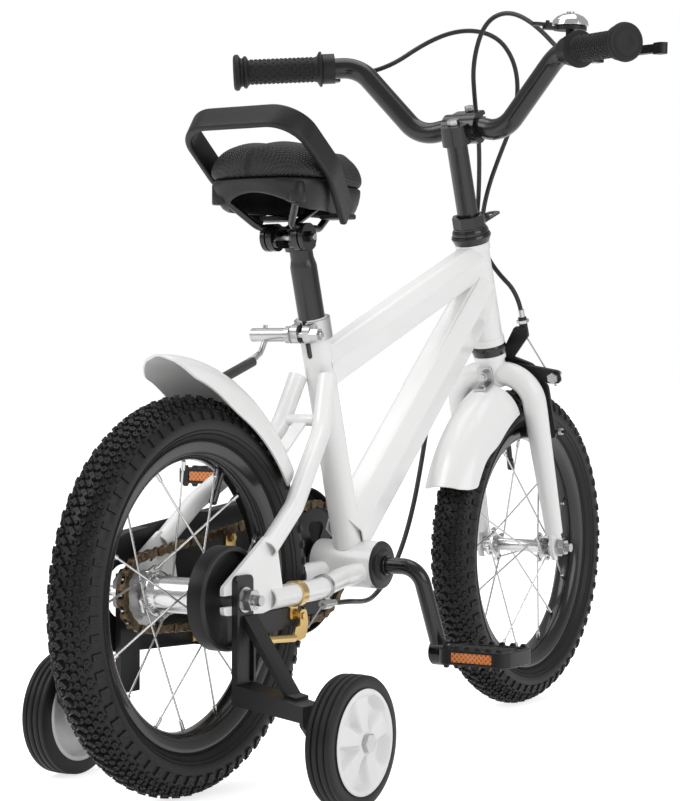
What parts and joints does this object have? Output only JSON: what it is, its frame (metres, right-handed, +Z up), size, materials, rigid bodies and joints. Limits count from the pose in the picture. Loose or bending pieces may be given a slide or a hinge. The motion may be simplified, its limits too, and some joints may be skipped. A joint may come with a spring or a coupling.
{
  "type": "kids bicycle",
  "caption": "Small kids bicycle with training wheels, band brake, front caliper brake, chain case, mudguards, bell and a padded saddle with a rear handle.",
  "frame": {"origin": "on the floor midway between the two wheel axles, in the bike's middle plane", "axes": "+X forward, +Y to the rider's left, +Z up"},
  "size_m": [0.99, 0.5118, 0.7516],
  "materials": {
    "black_paint": "gloss",
    "black_plastic": "textured",
    "black_rubber": "matt",
    "black_satin": "satin",
    "cable_black": "gloss",
    "chain_bronze": "satin",
    "chrome_plate": "polished",
    "cushion_vinyl": "textured",
    "gold_zinc": "satin",
    "silver_steel": "satin",
    "tyre_rubber": "matt",
    "white_paint": "gloss",
    "white_plastic": "gloss"
  },
  "bodies": {
    "frame": {"head_tube": "white_paint", "top_tube": "white_paint", "down_tube": "white_paint", "seat_tube": "white_paint", "bottom_bracket_shell": "white_paint", "left_chain_stay": "white_paint", "right_chain_stay": "white_paint", "left_seat_stay": "white_paint", "right_seat_stay": "white_paint", "stay_bridge": "white_paint", "seat_collar": "silver_steel", "rear_fender": "white_paint", "rear_axle": "silver_steel", "band_brake_cover": "black_satin", "left_training_bracket": "black_satin", "right_training_bracket": "black_satin", "chain_case": "white_paint", "drive_chain": "chain_bronze", "rear_brake_cable": "cable_black"},
    "steering": {"fork": "white_paint", "headset_locknut": "black_paint", "stem": "black_paint", "handlebar": "black_paint", "left_grip": "black_rubber", "right_grip": "black_rubber", "left_lever_bracket": "black_plastic", "right_lever_bracket": "black_plastic", "bell": "chrome_plate", "front_fender": "white_paint", "caliper_bolt": "silver_steel", "front_brake_cable": "cable_black"},
    "front_wheel": {"front_tyre": "tyre_rubber", "front_rim": "black_satin", "front_hub": "chrome_plate", "front_spokes": "chrome_plate"},
    "rear_wheel": {"rear_tyre": "tyre_rubber", "rear_rim": "black_satin", "rear_hub": "chrome_plate", "rear_spokes": "chrome_plate"},
    "freewheel": {"freewheel_sprocket": "silver_steel"},
    "crankset": {"crank": "black_satin", "chainring": "silver_steel"},
    "left_pedal_body": {"left_pedal": "black_plastic"},
    "right_pedal_body": {"right_pedal": "black_plastic"},
    "left_training_wheel": {"left_training_disc": "white_plastic", "left_training_tyre": "tyre_rubber"},
    "right_training_wheel": {"right_training_disc": "white_plastic", "right_training_tyre": "tyre_rubber"},
    "seat": {"seat_post": "black_paint", "saddle_clamp": "black_paint", "saddle_base": "black_plastic", "saddle_cushion": "cushion_vinyl", "saddle_handle": "black_plastic"},
    "quick_release": {"quick_release_lever": "silver_steel"},
    "left_lever": {"left_brake_lever": "black_plastic"},
    "right_lever": {"right_brake_lever": "black_plastic"},
    "left_caliper": {"left_caliper_arm": "black_satin"},
    "right_caliper": {"right_caliper_arm": "black_satin"},
    "band_lever": {"band_brake_lever": "gold_zinc"},
    "striker": {"bell_striker": "black_plastic"}
  },
  "joints": [
    {"name": "steering_hinge", "type": "hinge", "parent": "frame", "child": "steering", "pos_m": [0.22233, 0, 0.45866], "axis": [-0.3256, 0, 0.9455], "range_deg": [-60, 60], "deforming": ["rear_brake_cable"]},
    {"name": "front_wheel_hinge", "type": "hinge", "parent": "steering", "child": "front_wheel", "pos_m": [0.32, 0, 0.175], "axis": [0, 1, 0], "continuous": true},
    {"name": "rear_wheel_hinge", "type": "hinge", "parent": "frame", "child": "rear_wheel", "pos_m": [-0.32, 0, 0.175], "axis": [0, 1, 0], "continuous": true},
    {"name": "crank_hinge", "type": "hinge", "parent": "frame", "child": "crankset", "pos_m": [-0.04175, 0, 0.182], "axis": [0, 1, 0], "continuous": true, "deforming": ["drive_chain"]},
    {"name": "freewheel_hinge", "type": "hinge", "parent": "frame", "child": "freewheel", "pos_m": [-0.32, 0, 0.175], "axis": [0, 1, 0], "continuous": true},
    {"name": "left_pedal_hinge", "type": "hinge", "parent": "crankset", "child": "left_pedal_body", "pos_m": [-0.064, 0.136, 0.26507], "axis": [0, 1, 0], "continuous": true},
    {"name": "right_pedal_hinge", "type": "hinge", "parent": "crankset", "child": "right_pedal_body", "pos_m": [-0.01949, -0.136, 0.09893], "axis": [0, 1, 0], "continuous": true},
    {"name": "left_training_hinge", "type": "hinge", "parent": "frame", "child": "left_training_wheel", "pos_m": [-0.288, 0.151, 0.057], "axis": [0, 1, 0], "continuous": true},
    {"name": "right_training_hinge", "type": "hinge", "parent": "frame", "child": "right_training_wheel", "pos_m": [-0.288, -0.151, 0.057], "axis": [0, 1, 0], "continuous": true},
    {"name": "seat_height_slide", "type": "slide", "parent": "frame", "child": "seat", "axis": [-0.2924, 0, 0.9563], "range_m": [-0.045, 0.025]},
    {"name": "quick_release_hinge", "type": "hinge", "parent": "frame", "child": "quick_release", "pos_m": [-0.13218, 0.03, 0.40427], "axis": [0, 1, 0], "range_deg": [0, 150]},
    {"name": "left_lever_hinge", "type": "hinge", "parent": "steering", "child": "left_lever", "pos_m": [0.17568, 0.15772, 0.69294], "axis": [-0.0305, 0.0431, 0.9986], "range_deg": [0, 10], "stiffness_Nm_per_rad": 0.6, "springref_deg": -8.59, "deforming": ["front_brake_cable"]},
    {"name": "right_lever_hinge", "type": "hinge", "parent": "steering", "child": "right_lever", "pos_m": [0.17568, -0.15772, 0.69294], "axis": [0.0305, 0.0431, -0.9986], "range_deg": [0, 10], "stiffness_Nm_per_rad": 0.6, "springref_deg": -8.59, "deforming": ["rear_brake_cable"]},
    {"name": "left_caliper_hinge", "type": "hinge", "parent": "steering", "child": "left_caliper", "pos_m": [0.27435, 0, 0.37821], "axis": [-0.9455, 0, -0.3256], "range_deg": [0, 2.1]},
    {"name": "right_caliper_hinge", "type": "hinge", "parent": "steering", "child": "right_caliper", "pos_m": [0.27435, 0, 0.37821], "axis": [0.9455, 0, 0.3256], "range_deg": [0, 2.1]},
    {"name": "band_lever_hinge", "type": "hinge", "parent": "frame", "child": "band_lever", "pos_m": [-0.214, -0.0471, 0.1505], "axis": [0, -1, 0], "range_deg": [0, 10.2]},
    {"name": "striker_hinge", "type": "hinge", "parent": "steering", "child": "striker", "pos_m": [0.13705, -0.12241, 0.72132], "axis": [-0.0305, -0.0431, 0.9986], "range_deg": [0, 20], "stiffness_Nm_per_rad": 0.02, "springref_deg": -5.73}
  ],
  "couplings": [
    {"joint": "freewheel_hinge", "follows": "crank_hinge", "ratio": 1.75},
    {"joint": "left_caliper_hinge", "follows": "left_lever_hinge", "ratio": 0.205},
    {"joint": "right_caliper_hinge", "follows": "left_lever_hinge", "ratio": 0.205},
    {"joint": "band_lever_hinge", "follows": "right_lever_hinge", "ratio": 1}
  ]
}
